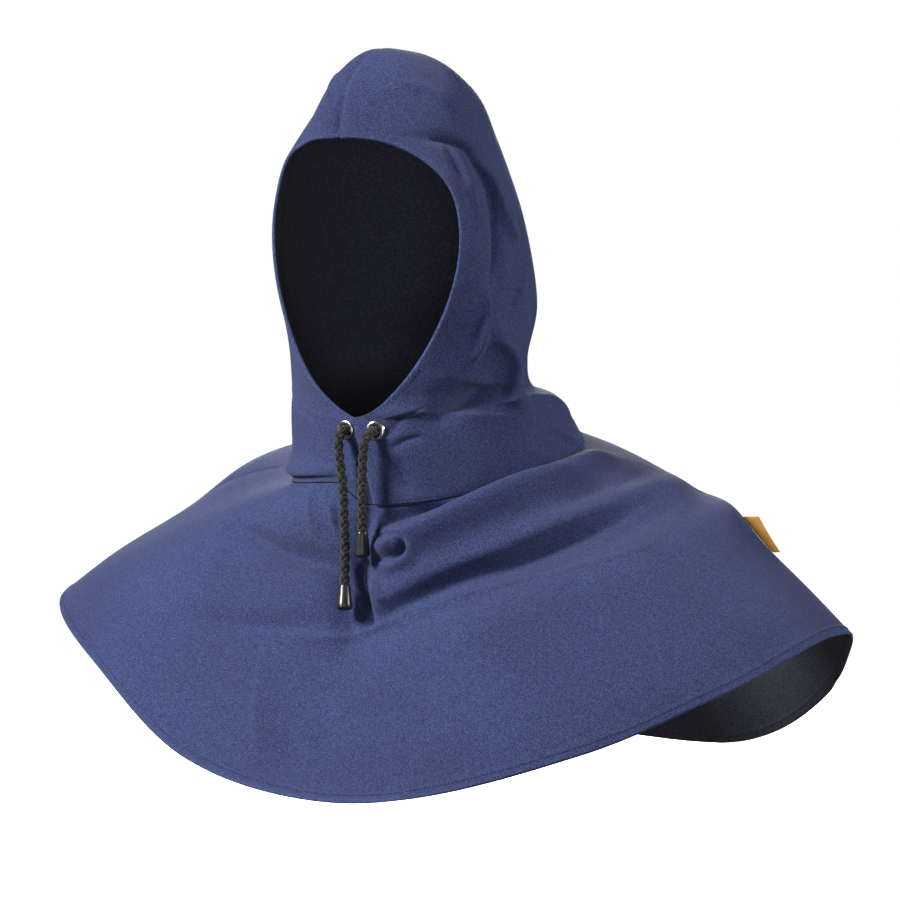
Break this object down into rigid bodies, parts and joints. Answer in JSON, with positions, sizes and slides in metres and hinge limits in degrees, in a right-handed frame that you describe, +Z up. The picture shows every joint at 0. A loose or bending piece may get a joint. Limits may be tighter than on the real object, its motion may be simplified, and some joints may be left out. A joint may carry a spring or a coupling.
{
  "type": "welding hood",
  "caption": "Dark navy cloth welding hood with a face opening, a lacing through eyelets below the chin and a wide cape over the shoulders.",
  "frame": {"origin": "inside of the crown, on the centre seam, where the wearer's head carries the hood", "axes": "+Z up, -Y the way that the wearer faces, +X the wearer's left"},
  "size_m": [0.603, 0.4299, 0.5057],
  "materials": {
    "cloth": "dark navy cotton twill, matt",
    "label": "tan woven tab, bare",
    "nickel": "nickel-plated, bright",
    "cord": "black braided cotton cord",
    "cord_end": "satin black moulded plastic"
  },
  "bodies": {
    "root": {"hood_left": "cloth", "hood_right": "cloth", "cape_front": "cloth", "cape_back": "cloth", "label": "label", "eyelet_left": "nickel", "eyelet_right": "nickel", "drawcord_left": "cord", "drawcord_right": "cord", "cord_end_left": "cord_end", "cord_end_right": "cord_end"}
  },
  "joints": []
}
